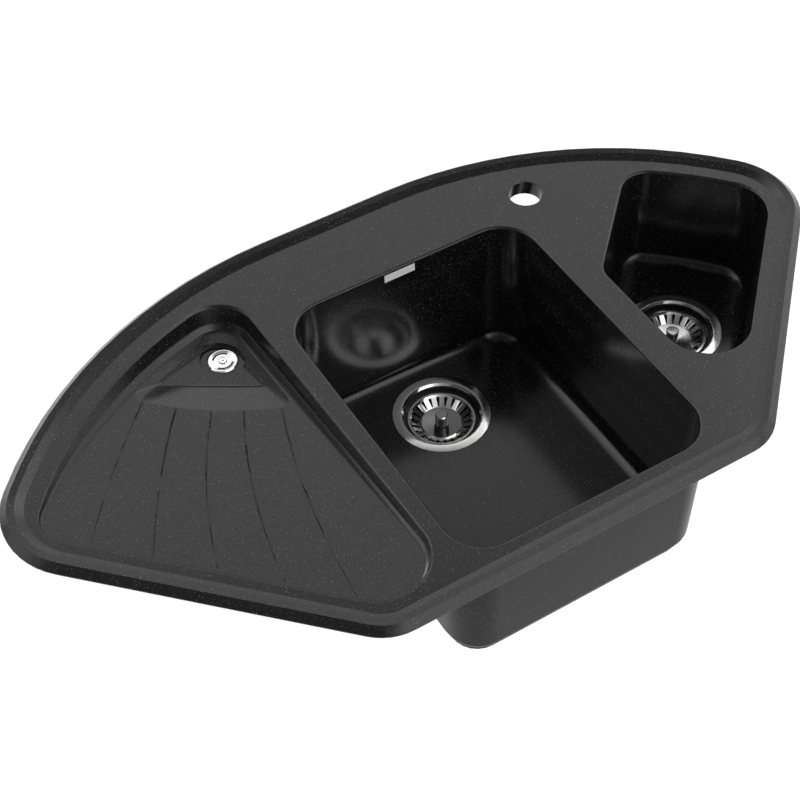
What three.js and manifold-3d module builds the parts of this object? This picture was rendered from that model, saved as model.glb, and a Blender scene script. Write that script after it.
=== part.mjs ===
// Corner kitchen sink in black granite composite: raised rim, drainboard, main bowl, small bowl,
// tap hole, two basket strainers that lift out, and the overflow with its ribbed hose.
// Millimetres, +Z up, +Y to the corner of the room. The rim's flat underside lies at z = 0.

import * as THREE from 'three';
import { mergeVertices } from 'three/addons/utils/BufferGeometryUtils.js';
import Module from 'manifold-3d';

const wasm = await Module();
wasm.setup();

const DEG = Math.PI / 180;

// ---------- driving dimensions, mm ----------

// whole sink, seen from above; y is measured from the front edge
const WIDTH = 1040;
const DEPTH = 570;
const ACROSS = WIDTH / 1040; // places across the sink keep their share of its width
const BACKWARDS = DEPTH / 570; // the funnel's places keep their share of its depth
const FRONT_HALF = 241 * ACROSS; // half of the front edge, up to the sharp corner with the wing edge
const WING_ANGLE = 45; // degrees between the front edge and a wing edge
const FRONT_CORNER_R = 64;
const END_CORNER_R = 94;
const BACK_FLAT_HALF = 86 * ACROSS; // half of the straight run at the middle of the back edge

// rim profile, from the outside inwards
const RIM_HEIGHT = 9;
const RIM_FOOT = 1.2; // upright part of the outer side, under the bevel
const BEVEL_WIDTH = 8.8;
const BAND_WIDTH = 8.6;
const BAND_FALL = 1.7; // the flat band leans inwards by this much
const SLOPE_WIDTH = 9;
const DECK_Z = 3; // the deck stands this high over the worktop
const DECK_THICKNESS = 11;
const SEAT_WIDTH = 22; // flat underside that rests on the worktop
const SEAT_MIDDLE = 10; // from the front edge to the frame's origin on that underside

// shell
const WALL = 8;
const FLOOR_THICKNESS = 10;
const EDGE_ROUND = 3; // rounding where the deck turns down into a bowl
const EDGE_BREAK = 1; // at the tap hole
const FLOOR_FILLET = 15;

// main bowl
const MAIN = {
  left: -128 * ACROSS,
  right: 200.4 * ACROSS,
  front: 38.3,
  back: 445.6,
  corner: 50,
  outerCorner: 42,
  floor: -182,
  draft: 4.5, // the wall leans in by this much from top to floor
  drain: [40 * ACROSS, 355],
};
const PLINTH_INSET = 9;
const PLINTH_HEIGHT = 6;

// small bowl: two sides along the right wing, one beside the main bowl, the back follows the rim
const SMALL = {
  wingGap: 37.8, // from the wing's outer edge to the bowl
  length: 186.6, // across the wing
  side: 235 * ACROSS, // x of the side beside the main bowl
  backGap: 42.4, // from the outer edge at the back
  frontCorner: 56,
  wingCorner: 52,
  backCorner: 40,
  sideCorner: 30,
  floor: -140,
  draft: 3,
  drain: [343.4 * ACROSS, 287.3],
};

// drainboard; its right edge leans a little away from the main bowl towards the back
const BOARD = {
  wingGap: 37.4,
  rightAt: [-144.5 * ACROSS, 121],
  rightHeading: 91.2,
  backGap: 45,
  frontCorner: 58,
  endCorner: 38,
  backCorner: 49,
  frontDepth: 2.6, // below the deck, at the wing edge
  fall: 0.07, // drop for each mm away from the wing edge
  ledgeInset: 9.5, // foot of the upper wall
  ledgeShare: 0.72, // of the depth
  ledge: 1.3, // width of the narrow ledge at that foot
  gutter: 8, // width of the slope from the ledge to the surface
  fullDepth: 16, // where the board is shallower, ledge and gutter are narrower in proportion
  leastShare: 0.25,
};
const BOARD_WALL = 8;

// funnel at the back of the drainboard, down to the overflow; its brim lies in the board's surface
// and its throat is the edge of the well, and both fronts bow slightly forwards
const FUNNEL = {
  brim: {
    gap: 0.6, // inside the gutter
    frontAt: [-253 * ACROSS, 377 * BACKWARDS],
    frontHeading: -35, // degrees
    frontRadius: 316,
    endCorner: 12,
    backCorner: 30,
  },
  throat: {
    gap: 8.4,
    frontAt: [-229 * ACROSS, 412.7 * BACKWARDS],
    frontHeading: -32.4,
    frontRadius: 1600,
    endCorner: 3,
    backCorner: 35,
  },
  throatZ: -25,
  wellDraft: 2, // how far the well's wall leans in beside the seat
  cove: 9, // width of the rounding around the well's floor
  seatZ: -31, // level ring that the rosette stands in
  seatR: 26,
  seatDepth: 3.2, // below the well's floor
  dishR: 100, // the floor rises towards this radius
  dishRise: 1.6,
};
const OVERFLOW = [-201.6 * ACROSS, 450 * BACKWARDS];
const OVERFLOW_HOLE_R = 13;

// grooves in the drainboard: where each starts, in degrees around the brim's front, where it
// ends, along the wing from the front corner, and how far its middle bows out
const GROOVES = [
  { turn: 220.7, along: 379, bow: 4 },
  { turn: 227.9, along: 310, bow: 5 },
  { turn: 235.3, along: 240, bow: 9 },
  { turn: 241.8, along: 168, bow: 10 },
  { turn: 249.5, along: 92, bow: 10 },
];
const GROOVE_START = 0.8; // from the brim
const GROOVE_END = 7; // from the drainboard's wing edge
const GROOVE_WIDTH = 2.5;
const GROOVE_DEPTH = 1.3;
const GROOVE_TAPER = 0.4; // width and depth left at the far end
const GROOVE_PIECES = 7;
const OVER = 2; // how far a cutter stands out of the surface it cuts

// tap hole
const TAP = [235.3 * ACROSS, 470.6];
const TAP_R = 22.2;
const TAP_BOSS_R = 38;
const TAP_BOSS_DEPTH = 19;

// blank badge on the back wall of the main bowl
const BADGE = { x: 35 * ACROSS, width: 42, height: 10.5, thickness: 0.6, below: 3.4 };

// basket strainer; heights are measured from the bowl's floor
const STRAINER = {
  flangeR: 61.3,
  seatDepth: 2.4,
  mouthR: 51.4,
  throatR: 48,
  throatZ: -9.5,
  ledgeR: 40.6,
  ledgeZ: -12.2,
  cupR: 36,
  cupZ: -38.5,
  sheet: 1,
  basketR: 43.2,
  basketSheet: 0.8,
  coneR: 26,
  coneZ: -19,
  slots: 22,
  slotWidth: 4.4,
  knobR: 8,
  knobTop: -1,
  stemR: 3,
  sealR: 26,
  ports: 6,
  portR: 5,
  portCircle: 17.5,
};
const HOLE_CLEARANCE = 1;
const TOUCH = 0.3; // gap left between pieces that touch
const GASKET = 2.4;

// drain body under a bowl
const BODY = {
  shellR: 49,
  lipWidth: 8, // beyond the shell
  lip: 3.6,
  wall: 2.6,
  shellDepth: 34,
  outletR: 20,
  outletLength: 40,
  cone: 18,
  bossR: 8,
  boltR: 3,
  boltHead: 6.5,
  ribWidth: 3,
  ribDepth: 8,
  ribRoot: 0.8, // how far a rib runs into the shell
  tailReach: 6, // how far the hose tail's bore runs into the body
  collar: 1.6, // ring that stops the nut of the house's pipe
};
const BODY_CLEARANCE = 0.4;

// overflow
const ROSETTE_R = 18.4;
const ROSETTE_SEAT = 2;
const CUP = { lipR: 22, lip: 3, wall: 2, drop: 40 };
const HOSE = { r: 13.5, groove: 1.8, bore: 9.5, pitch: 8, inletZ: -222, inletAngle: 158 };
const SPIGOT = 30; // length of the hose tail on the main drain body
const HOSE_SIDES = 8;
const HOSE_BORE_STEP = 5; // the bore is drawn with one ring for this many half ribs
const TAIL_R = HOSE.bore * Math.cos(Math.PI / HOSE_SIDES) - TOUCH; // tails inside the hose
const TAIL_GRIP = 18; // how far the hose is pushed over a tail

// how finely round shapes are drawn
const FINE = 32;
const ROUND = 20;
const PLAIN = 12;
const SMALL_HOLE = 8;
const ARC_STEPS = 8; // along the rosette's slots
const TURNS = [[200, 4], [60, 7.5], [20, 11.3], [0, 18]]; // [radius over, degrees a chord turns]
const UNSEEN = 1.5; // undersides are drawn with this much longer chords

// ---------- solids ----------

/** A closed manifold from a closed geometry. */
function solid(geometry) {
  const bare = new THREE.BufferGeometry();
  bare.setAttribute('position', geometry.getAttribute('position').clone());
  if (geometry.index) bare.setIndex(geometry.index);
  const merged = mergeVertices(bare, 1e-4);
  return new wasm.Manifold(
    new wasm.Mesh({
      numProp: 3,
      vertProperties: new Float32Array(merged.getAttribute('position').array),
      triVerts: new Uint32Array(merged.index.array),
    }),
  );
}

/** The geometry of a manifold. */
function shape(manifold) {
  const mesh = manifold.getMesh();
  const geometry = new THREE.BufferGeometry();
  geometry.setAttribute('position', new THREE.BufferAttribute(new Float32Array(mesh.vertProperties), 3));
  geometry.setIndex(new THREE.BufferAttribute(new Uint32Array(mesh.triVerts), 1));
  return geometry;
}

const join = (...parts) => parts.reduce((a, b) => a.add(b));
const cut = (body, ...tools) => tools.reduce((a, b) => a.subtract(b), body);

/** Closed solid of revolution about Z through `at`; profile is [r, z], anticlockwise. */
function revolve(profile, at = [0, 0], segments = ROUND) {
  const positions = [];
  const rows = profile.map(([r, z]) => {
    const row = [];
    for (let j = 0; j < segments; j += 1) {
      if (r > 1e-6 || j === 0) {
        const t = (2 * Math.PI * j) / segments;
        positions.push(at[0] + r * Math.cos(t), at[1] + r * Math.sin(t), z);
      }
      row.push(positions.length / 3 - 1);
    }
    return row;
  });
  const index = [];
  rows.forEach((row, i) => {
    const next = rows[(i + 1) % rows.length];
    for (let j = 0; j < segments; j += 1) {
      const k = (j + 1) % segments;
      pushQuad(index, row[j], row[k], next[k], next[j]);
    }
  });
  return solid(indexed(positions, index));
}

function pushQuad(index, a, b, c, d) {
  if (a !== b && b !== c && a !== c) index.push(a, b, c);
  if (a !== c && c !== d && a !== d) index.push(a, c, d);
}

function indexed(positions, index) {
  const geometry = new THREE.BufferGeometry();
  geometry.setAttribute('position', new THREE.Float32BufferAttribute(positions, 3));
  geometry.setIndex(index);
  return geometry;
}

/** Closed solid through rings of equal count, each anticlockwise seen from its far end. */
function loft(rings) {
  const n = rings[0].length;
  const positions = rings.flat(2);
  const index = [];
  for (let k = 0; k < rings.length - 1; k += 1) {
    for (let i = 0; i < n; i += 1) {
      const j = (i + 1) % n;
      pushQuad(index, k * n + i, k * n + j, (k + 1) * n + j, (k + 1) * n + i);
    }
  }
  const last = (rings.length - 1) * n;
  capTriangles(rings[0]).forEach(([a, b, c]) => index.push(a, c, b));
  capTriangles(rings.at(-1)).forEach(([a, b, c]) => index.push(last + a, last + b, last + c));
  return solid(indexed(positions, index));
}

/** Triangles over a ring, laid out in the ring's own plane. */
function capTriangles(ring) {
  const points = ring.map((p) => new THREE.Vector3(...p));
  const normal = new THREE.Vector3();
  points.forEach((p, i) => normal.add(p.clone().cross(points[(i + 1) % points.length])));
  normal.normalize();
  const u = new THREE.Vector3(1, 0, 0);
  if (Math.abs(normal.x) > 0.9) u.set(0, 1, 0);
  u.addScaledVector(normal, -u.dot(normal)).normalize();
  const v = normal.clone().cross(u);
  const flat = points.map((p) => new THREE.Vector2(p.dot(u), p.dot(v)));
  return THREE.ShapeUtils.triangulateShape(flat, []);
}

/** Closed profile of a sheet of constant thickness along a line of [r, z] points. */
function sheetProfile(line, thickness) {
  const half = thickness / 2;
  const normals = line.map((_, i) => {
    const a = line[Math.max(0, i - 1)];
    const b = line[Math.min(line.length - 1, i + 1)];
    const length = Math.hypot(b[0] - a[0], b[1] - a[1]);
    return [-(b[1] - a[1]) / length, (b[0] - a[0]) / length];
  });
  const side = (s) =>
    line.map(([r, z], i) => {
      const [nr, nz] = normals[i];
      return [Math.max(0, r + s * half * nr), z + s * half * nz];
    });
  return [...side(-1), ...side(1).reverse()];
}

/** Upright cylinder. */
function rod(r, low, high, at, segments = ROUND) {
  return revolve([[0, low], [r, low], [r, high], [0, high]], at, segments);
}

/** Upright tube. */
function tube(r, bore, low, high, at, segments = ROUND) {
  return revolve([[bore, low], [r, low], [r, high], [bore, high]], at, segments);
}

// ---------- outlines seen from above ----------

/**
 * Outline of straight and round edges, anticlockwise, each corner filled with a tangent arc.
 * A straight edge is { at: [x, y], heading }, a round edge is { hub: [x, y], radius }.
 * `round` is the corner radius at the edge's start; 0 where it runs on smoothly.
 */
function outline(edges) {
  const n = edges.length;
  const corners = edges.map((edge, i) => cornerArc(edges[(i + n - 1) % n], edge));
  const arcs = [];
  edges.forEach((edge, i) => {
    arcs.push(corners[i]);
    if (edge.hub) {
      const end = corners[(i + 1) % n];
      arcs.push(arc(edge.hub, edge.radius, corners[i].to, end.from));
    }
  });
  return arcs.filter((a) => a.radius > 0);
}

function arc(centre, radius, from, to) {
  let end = to;
  while (end < from - 1e-9) end += 2 * Math.PI;
  return { centre, radius, from, to: end };
}

function cornerArc(before, after) {
  if (after.round === 0) {
    const straight = before.hub ? after : before;
    const normal = (straight.heading - 90) * DEG;
    return { centre: [0, 0], radius: 0, from: normal, to: normal };
  }
  const centre = meet(inward(before, after.round), inward(after, after.round));
  return arc(centre, after.round, outwardAngle(before, centre), outwardAngle(after, centre));
}

/** The edge moved towards the inside. */
function inward(edge, distance) {
  if (edge.hub) return { ...edge, radius: edge.radius - distance };
  const t = edge.heading * DEG;
  const at = [edge.at[0] - distance * Math.sin(t), edge.at[1] + distance * Math.cos(t)];
  return { ...edge, at };
}

function outwardAngle(edge, centre) {
  if (edge.hub) return Math.atan2(centre[1] - edge.hub[1], centre[0] - edge.hub[0]);
  return (edge.heading - 90) * DEG;
}

/** Where two edges cross; a straight edge meets a round one at the end it is heading for. */
function meet(a, b) {
  if (a.hub && b.hub) return meetRound(a, b);
  const line = a.hub ? b : a;
  const other = a.hub ? a : b;
  const [dx, dy] = [Math.cos(line.heading * DEG), Math.sin(line.heading * DEG)];
  if (!other.hub) {
    const [ex, ey] = [Math.cos(other.heading * DEG), Math.sin(other.heading * DEG)];
    const t = ((other.at[0] - line.at[0]) * ey - (other.at[1] - line.at[1]) * ex) / (dx * ey - dy * ex);
    return [line.at[0] + t * dx, line.at[1] + t * dy];
  }
  const [px, py] = [line.at[0] - other.hub[0], line.at[1] - other.hub[1]];
  const along = px * dx + py * dy;
  const reach = Math.sqrt(along ** 2 - px ** 2 - py ** 2 + other.radius ** 2);
  const t = -along + (line === a ? reach : -reach);
  return [line.at[0] + t * dx, line.at[1] + t * dy];
}

/** Where two round edges cross, as the first one hands over to the second. */
function meetRound(a, b) {
  const [dx, dy] = [b.hub[0] - a.hub[0], b.hub[1] - a.hub[1]];
  const d = Math.hypot(dx, dy);
  const along = (d ** 2 + a.radius ** 2 - b.radius ** 2) / (2 * d);
  const across = Math.sqrt(a.radius ** 2 - along ** 2);
  return [a.hub[0] + (along * dx - across * dy) / d, a.hub[1] + (along * dy + across * dx) / d];
}

/** How many chords each arc of an outline is drawn with; wider arcs turn less at each chord. */
const chords = (arcs, coarser = 1) =>
  arcs.map(({ radius, from, to }) => {
    const [, turn] = TURNS.find(([least]) => radius > least);
    return Math.max(1, Math.ceil((to - from) / DEG / turn / coarser));
  });

/**
 * Points of an outline moved inwards; `inset` and `z` are numbers or functions of x and y.
 * Rings of one loft share the chord counts of one outline.
 */
function ring(arcs, inset, z, counts = chords(arcs)) {
  const insetAt = typeof inset === 'function' ? inset : () => inset;
  const zAt = typeof z === 'function' ? z : () => z;
  return arcs.flatMap((a, k) => {
    const count = counts[k];
    return Array.from({ length: count + 1 }, (_, i) => {
      const t = a.from + ((a.to - a.from) * i) / count;
      const [nx, ny] = [Math.cos(t), Math.sin(t)];
      const edge = [a.centre[0] + a.radius * nx, a.centre[1] + a.radius * ny];
      const d = insetAt(...edge);
      const [x, y] = [edge[0] - d * nx, edge[1] - d * ny];
      return [x, y, zAt(x, y)];
    });
  });
}

// The right end's corner and the long side arc are tangent to each other, to the wing edge, to the
// sink's full width and to the straight back edge.
const endX = WIDTH / 2 - END_CORNER_R;
const wingSine = Math.sin(WING_ANGLE * DEG);
const wingCosine = Math.cos(WING_ANGLE * DEG);
const endY = ((endX - FRONT_HALF) * wingSine + END_CORNER_R) / wingCosine;
const sideR =
  (END_CORNER_R ** 2 - (endX - BACK_FLAT_HALF) ** 2 - (endY - DEPTH) ** 2) /
  (2 * (endY - DEPTH + END_CORNER_R));
const rightHub = [BACK_FLAT_HALF, DEPTH - sideR];
const leftHub = [-BACK_FLAT_HALF, DEPTH - sideR];

const sinkOutline = outline([
  { at: [0, 0], heading: 0, round: FRONT_CORNER_R },
  { at: [FRONT_HALF, 0], heading: WING_ANGLE, round: FRONT_CORNER_R },
  { hub: rightHub, radius: sideR, round: END_CORNER_R },
  { at: [0, DEPTH], heading: 180, round: 0 },
  { hub: leftHub, radius: sideR, round: 0 },
  { at: [-FRONT_HALF, 0], heading: -WING_ANGLE, round: END_CORNER_R },
]);

/** A point at a distance inside the right wing edge, or inside the left one with side -1. */
const insideWing = (distance, side) => [side * (FRONT_HALF - distance / wingSine), 0];

const mainOutline = (corner) =>
  outline([
    { at: [0, MAIN.front], heading: 0, round: corner },
    { at: [MAIN.right, 0], heading: 90, round: corner },
    { at: [0, MAIN.back], heading: 180, round: corner },
    { at: [MAIN.left, 0], heading: -90, round: corner },
  ]);

const smallOutline = outline([
  { at: insideWing(SMALL.wingGap, 1), heading: WING_ANGLE, round: SMALL.frontCorner },
  { hub: rightHub, radius: sideR - SMALL.backGap, round: SMALL.wingCorner },
  {
    at: insideWing(SMALL.wingGap + SMALL.length, 1),
    heading: WING_ANGLE + 180,
    round: SMALL.backCorner,
  },
  { at: [SMALL.side, 0], heading: -90, round: SMALL.sideCorner },
]);

const boardRight = { at: BOARD.rightAt, heading: BOARD.rightHeading };
const boardOutline = outline([
  { at: insideWing(BOARD.wingGap, -1), heading: -WING_ANGLE, round: BOARD.endCorner },
  { ...boardRight, round: BOARD.frontCorner },
  { hub: leftHub, radius: sideR - BOARD.backGap, round: BOARD.backCorner },
]);

// ---------- the composite body ----------

/** Depth of the drainboard's surface below the deck. */
function boardDepth(x, y) {
  const [edgeX] = insideWing(BOARD.wingGap, -1);
  const fromWing = (x - edgeX) * wingSine + y * wingCosine;
  return BOARD.frontDepth + BOARD.fall * Math.max(0, fromWing);
}

const boardZ = (x, y) => DECK_Z - boardDepth(x, y);

/** Rim and deck: the flat underside, the bevelled side, the band and the slope to the deck. */
function rimAndDeck() {
  const bandInner = BEVEL_WIDTH + BAND_WIDTH;
  const underside = DECK_Z - DECK_THICKNESS;
  const steps = [
    [SEAT_WIDTH, underside],
    [SEAT_WIDTH, 0],
    [0, 0],
    [0, RIM_FOOT],
    [BEVEL_WIDTH - 0.8, RIM_HEIGHT - 0.5],
    [BEVEL_WIDTH, RIM_HEIGHT],
    [bandInner - 0.8, RIM_HEIGHT - BAND_FALL + 0.15],
    [bandInner, RIM_HEIGHT - BAND_FALL - 0.3],
    [bandInner + SLOPE_WIDTH - 0.8, DECK_Z + 0.3],
    [bandInner + SLOPE_WIDTH, DECK_Z],
  ];
  return loft(steps.map(([inset, z]) => ring(sinkOutline, inset, z)));
}

/** Steps of [inset, z] down a bowl's inner wall, from above the deck to the floor. */
function bowlSteps(floor, draft) {
  const top = [0, 30, 60, 90].map((t) => [
    EDGE_ROUND * Math.sin(t * DEG),
    DECK_Z - EDGE_ROUND * (1 - Math.cos(t * DEG)),
  ]);
  const wallEnd = EDGE_ROUND + draft;
  const fillet = [0, 30, 60, 90].map((t) => [
    wallEnd + FLOOR_FILLET * (1 - Math.cos(t * DEG)),
    floor + FLOOR_FILLET * (1 - Math.sin(t * DEG)),
  ]);
  return [...top, ...fillet];
}

const bowlCutter = (arcs, floor, draft) => {
  const steps = bowlSteps(floor, draft);
  const lid = [steps[0][0], RIM_HEIGHT * 3];
  return loft([lid, ...steps].reverse().map(([inset, z]) => ring(arcs, inset, z)));
};

/** Outside of a bowl, with its bottom fillet and plinth. */
function bowlShell(arcs, floor, draft) {
  const bottom = floor - FLOOR_THICKNESS;
  const top = EDGE_ROUND - WALL;
  const low = top + draft;
  const fillet = [90, 45, 0].map((t) => [
    low + FLOOR_FILLET * (1 - Math.cos(t * DEG)),
    bottom + FLOOR_FILLET * (1 - Math.sin(t * DEG)),
  ]);
  const plinth = [
    [low + PLINTH_INSET, bottom - PLINTH_HEIGHT],
    [low + PLINTH_INSET, bottom + 1],
  ];
  const counts = chords(arcs, UNSEEN);
  const rings = (steps) => steps.map(([inset, z]) => ring(arcs, inset, z, counts));
  return join(loft(rings([...fillet, [top, DECK_Z - 1]])), loft(rings(plinth)));
}

/** Hollow of the drainboard: upper wall, gutter, and a floor falling towards the funnel. */
function boardCutter() {
  const { ledgeInset, ledgeShare, ledge, gutter, fullDepth, leastShare } = BOARD;
  const ledgeEnd = ledgeInset + ledge;
  const share = (x, y) => Math.min(1, Math.max(leastShare, boardDepth(x, y) / fullDepth));
  const step = (inset, part) =>
    ring(boardOutline, (x, y) => inset * share(x, y), (x, y) => DECK_Z - part * boardDepth(x, y));
  return loft([
    step(ledgeEnd + gutter, 1),
    step(ledgeEnd + gutter * 0.7, 0.97),
    step(ledgeEnd, ledgeShare + 0.01),
    step(ledgeInset, ledgeShare),
    step(ledgeInset * 0.3, 0.1),
    step(0, 0),
    ring(boardOutline, 0, RIM_HEIGHT * 3),
  ]);
}

/** Pan under the drainboard and its funnel. */
function boardShell() {
  const low = (x, y) => boardZ(x, y) - BOARD_WALL;
  const outer = BOARD.ledgeInset - BOARD_WALL;
  const panCounts = chords(boardOutline, UNSEEN);
  const pan = loft([
    ring(boardOutline, outer + 4, low, panCounts),
    ring(boardOutline, outer, (x, y) => low(x, y) + 4, panCounts),
    ring(boardOutline, -BOARD_WALL / 2, DECK_Z - 1, panCounts),
  ]);
  const well = FUNNEL.seatZ - BOARD_WALL;
  const funnel = loft([
    ring(throatOutline, 3 - BOARD_WALL, well),
    ring(throatOutline, -BOARD_WALL, well + 3),
    ring(throatOutline, -2 * BOARD_WALL, FUNNEL.throatZ - BOARD_WALL / 2),
    ring(throatOutline, -2 * BOARD_WALL, boardZ(...OVERFLOW)),
  ]);
  return join(pan, funnel);
}

/** The hub of a brim's or throat's bowed front. */
function frontHub({ frontAt, frontHeading, frontRadius }) {
  return inward({ at: frontAt, heading: frontHeading }, frontRadius).at;
}

/** Rounded triangle of the funnel's brim or throat. */
function funnelOutline(edge) {
  const inset = BOARD.ledgeInset + BOARD.ledge + BOARD.gutter + edge.gap;
  return outline([
    { hub: frontHub(edge), radius: edge.frontRadius, round: edge.endCorner },
    { ...inward(boardRight, inset), round: edge.endCorner },
    { hub: leftHub, radius: sideR - BOARD.backGap - inset, round: edge.backCorner },
  ]);
}

const brimOutline = funnelOutline(FUNNEL.brim);
const throatOutline = funnelOutline(FUNNEL.throat);

/** Outline of the well at a distance inside its throat. */
function coveOutline(inset) {
  const { gap, frontAt, frontHeading, backCorner } = FUNNEL.throat;
  return funnelOutline({
    ...FUNNEL.throat,
    gap: gap + inset,
    frontAt: inward({ at: frontAt, heading: frontHeading }, inset).at,
    backCorner: backCorner - inset,
  });
}

/** Funnel and well, with the well's floor dished towards the overflow's seat. */
function funnelCutter() {
  const { throatZ, wellDraft, cove, seatZ, seatR, seatDepth, dishR, dishRise } = FUNNEL;
  const counts = chords(brimOutline);
  const floor = seatZ + seatDepth;
  const rise = throatZ - floor;
  const funnel = loft([
    ring(coveOutline(cove), 0, seatZ, counts),
    ring(coveOutline(cove), 0, floor, counts),
    ring(coveOutline(cove * 0.4), 0, floor + rise * 0.3, counts),
    ring(throatOutline, 0, throatZ, counts),
    ring(brimOutline, 0, boardZ, counts),
    ring(brimOutline, 0, (x, y) => boardZ(x, y) + OVER, counts),
  ]);
  const step = [[0, seatZ], [seatR, seatZ], [seatR + 1.2, floor]];
  const dish = [...step, [dishR, floor + dishRise], [DEPTH, 0], [DEPTH, DECK_Z], [0, DECK_Z]];
  const upright = loft([
    ring(throatOutline, wellDraft, seatZ),
    ring(throatOutline, 0, throatZ),
    ring(throatOutline, 0, throatZ + OVER),
  ]);
  const seat = revolve([...step, [seatR + 2, throatZ + OVER], [0, throatZ + OVER]], OVERFLOW);
  return funnel.intersect(revolve(dish, OVERFLOW)).add(upright.intersect(seat));
}

/** A tapering groove along a bowed line on the drainboard. */
function grooveCutter({ turn, along, bow }) {
  const start = FUNNEL.brim.frontRadius + GROOVE_START;
  const hub = new THREE.Vector2(...frontHub(FUNNEL.brim));
  const a = hub.add(new THREE.Vector2(start, 0).rotateAround(new THREE.Vector2(), turn * DEG));
  const wing = new THREE.Vector2(...insideWing(BOARD.wingGap + GROOVE_END, -1));
  const b = wing.add(new THREE.Vector2(-along * wingCosine, along * wingSine));
  const run = b.clone().sub(a);
  const side = new THREE.Vector2(run.y, -run.x).normalize();
  const middle = a.clone().lerp(b, 0.5).addScaledVector(side, bow * 2);
  const curve = new THREE.QuadraticBezierCurve(a, middle, b);
  const rings = Array.from({ length: GROOVE_PIECES + 1 }, (_, i) => {
    const t = i / GROOVE_PIECES;
    const p = curve.getPoint(t);
    const heading = curve.getTangent(t);
    const taper = 1 - (1 - GROOVE_TAPER) * t;
    const depth = GROOVE_DEPTH * taper;
    const half = (GROOVE_WIDTH / 2) * taper * (1 + OVER / depth);
    const section = [[half, OVER], [-half, OVER], [0, -depth]];
    return section.map(([across, up]) => {
      const x = p.x + across * heading.y;
      const y = p.y - across * heading.x;
      return [x, y, boardZ(x, y) + up];
    });
  });
  return loft(rings);
}

/** Seat and hole for a strainer in a bowl's floor. */
function drainCutter({ floor, drain }) {
  const s = STRAINER;
  const seat = floor - s.seatDepth;
  const under = floor - FLOOR_THICKNESS - PLINTH_HEIGHT;
  const profile = [
    [0, under - 1],
    [s.throatR + HOLE_CLEARANCE, under - 1],
    [s.throatR + HOLE_CLEARANCE, floor + s.throatZ],
    [s.mouthR + HOLE_CLEARANCE, seat - 1.5],
    [s.flangeR + HOLE_CLEARANCE, seat],
    [s.flangeR + HOLE_CLEARANCE, floor + 5],
    [0, floor + 5],
  ];
  return revolve(profile, drain, FINE);
}

function sinkBody() {
  const main = mainOutline(MAIN.corner);
  const blank = join(
    rimAndDeck(),
    bowlShell(mainOutline(MAIN.outerCorner), MAIN.floor, MAIN.draft),
    bowlShell(smallOutline, SMALL.floor, SMALL.draft),
    boardShell(),
    rod(TAP_BOSS_R, DECK_Z - TAP_BOSS_DEPTH, DECK_Z - 1, TAP),
  );
  const tapHole = revolve(
    [
      [0, DECK_Z - TAP_BOSS_DEPTH - OVER],
      [TAP_R - EDGE_BREAK, DECK_Z - TAP_BOSS_DEPTH - OVER],
      [TAP_R - EDGE_BREAK, DECK_Z - EDGE_BREAK],
      [TAP_R, DECK_Z],
      [TAP_R, RIM_HEIGHT],
      [0, RIM_HEIGHT],
    ],
    TAP,
  );
  const overflowHole = revolve(
    [
      [0, FUNNEL.seatZ - BOARD_WALL - OVER],
      [OVERFLOW_HOLE_R, FUNNEL.seatZ - BOARD_WALL - OVER],
      [OVERFLOW_HOLE_R, FUNNEL.seatZ - ROSETTE_SEAT],
      [ROSETTE_R + HOLE_CLEARANCE, FUNNEL.seatZ - ROSETTE_SEAT],
      [ROSETTE_R + HOLE_CLEARANCE, FUNNEL.throatZ - 0.5],
      [0, FUNNEL.throatZ - 0.5],
    ],
    OVERFLOW,
  );
  return cut(
    blank,
    bowlCutter(main, MAIN.floor, MAIN.draft),
    bowlCutter(smallOutline, SMALL.floor, SMALL.draft),
    boardCutter(),
    funnelCutter(),
    ...GROOVES.map(grooveCutter),
    drainCutter(MAIN),
    drainCutter(SMALL),
    tapHole,
    overflowHole,
  );
}

// ---------- strainer pieces; z is measured from the bowl's floor ----------

/** Pressed steel flange and cup, with the ports in the cup's bottom. */
function strainerFlange() {
  const s = STRAINER;
  const top = s.sheet / 2 + TOUCH - s.seatDepth + GASKET / 2;
  const line = [
    [s.flangeR, top - 0.3],
    [s.mouthR + 2, top + 0.9],
    [s.mouthR - 1, top + 0.5],
    [s.throatR + 0.4, top - 1.6],
    [s.throatR, s.ledgeZ],
    [s.ledgeR, s.ledgeZ],
    [s.cupR, s.cupZ + 6],
    [s.cupR - 6, s.cupZ],
    [BODY.boltR + TOUCH, s.cupZ],
  ];
  const dish = revolve(sheetProfile(line.reverse(), s.sheet), [0, 0], FINE);
  const ports = Array.from({ length: s.ports }, (_, i) => {
    const t = (2 * Math.PI * i) / s.ports;
    const at = [s.portCircle * Math.cos(t), s.portCircle * Math.sin(t)];
    return rod(s.portR, s.cupZ - 4, s.cupZ + 4, at, SMALL_HOLE);
  });
  return cut(dish, ...ports);
}

/** Basket with its slotted cone and dished centre. */
function strainerBasket() {
  const s = STRAINER;
  const rest = s.ledgeZ + s.sheet / 2 + TOUCH + s.basketSheet / 2;
  const line = [
    [s.stemR + TOUCH, s.coneZ - 1.4],
    [s.coneR - 1, s.coneZ + 1.2],
    [s.coneR + 1, s.coneZ],
    [s.ledgeR - 2.6, rest - 1],
    [s.ledgeR - 0.6, rest + 1.2],
    [s.basketR - 0.8, rest + 1.2],
    [s.basketR - 0.4, rest + 0.1],
  ];
  const dish = revolve(sheetProfile(line, s.basketSheet), [0, 0], FINE);
  const slots = Array.from({ length: s.slots }, (_, i) => {
    const turn = (360 * i) / s.slots;
    const through = slot(s.coneR + 1.5, s.ledgeR - 3.4, s.slotWidth, s.coneZ - 3, rest + 4);
    return through.rotate([0, 0, turn]);
  });
  return cut(dish, ...slots);
}

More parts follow.
